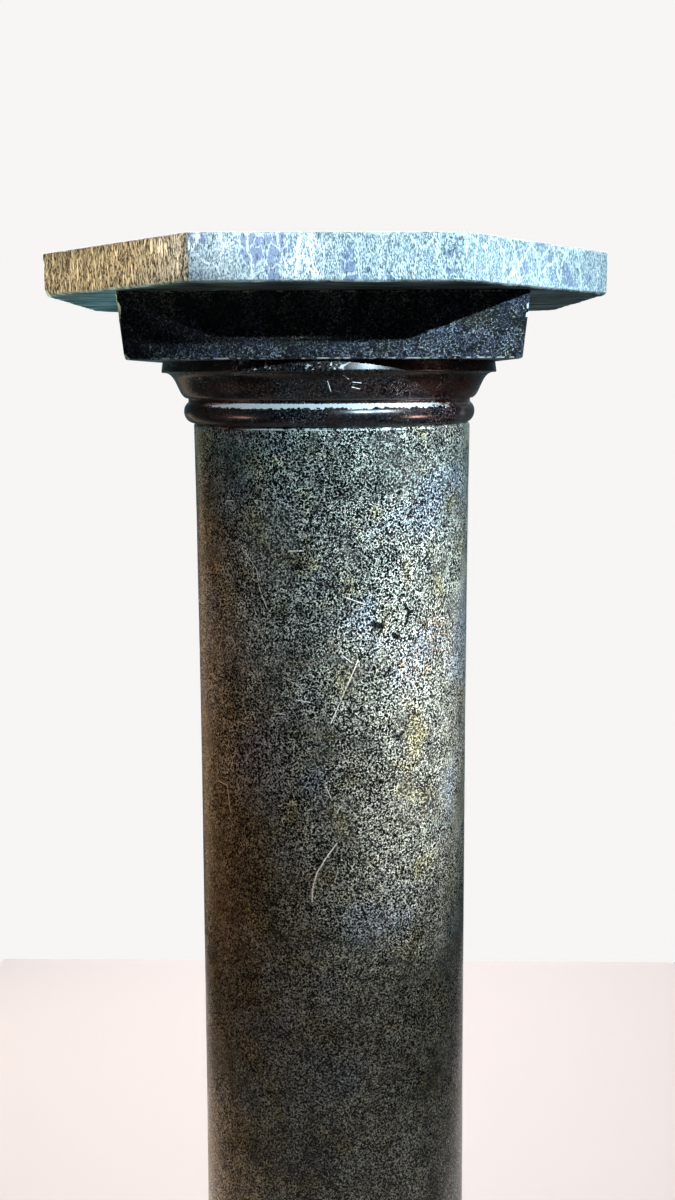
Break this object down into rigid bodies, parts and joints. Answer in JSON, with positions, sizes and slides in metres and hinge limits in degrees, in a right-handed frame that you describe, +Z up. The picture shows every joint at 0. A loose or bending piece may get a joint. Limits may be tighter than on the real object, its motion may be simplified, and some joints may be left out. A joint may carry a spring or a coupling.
{
  "type": "marble column",
  "caption": "Dark green marble pedestal column: octagonal top slab on a square abacus, turned capital ring, round shaft with entasis, and a moulded foot; holds a bust, vase or plant.",
  "frame": {"origin": "middle of the underside of the foot slab", "axes": "+Z up along the column's axis; a long side of the octagonal slab faces -Y"},
  "size_m": [0.34, 0.34, 1.1],
  "materials": {
    "sawn_slab": "sawn sides, worn polish on the flat",
    "polished_block": "worn polish",
    "polished_moulding": "polished",
    "polished_shaft": "worn polish with fine scratches"
  },
  "bodies": {
    "root": {"top_slab": "sawn_slab", "abacus": "polished_block", "capital_ring": "polished_moulding", "shaft": "polished_shaft", "base_ring": "polished_moulding", "plinth": "polished_block", "foot_slab": "sawn_slab"}
  },
  "joints": []
}
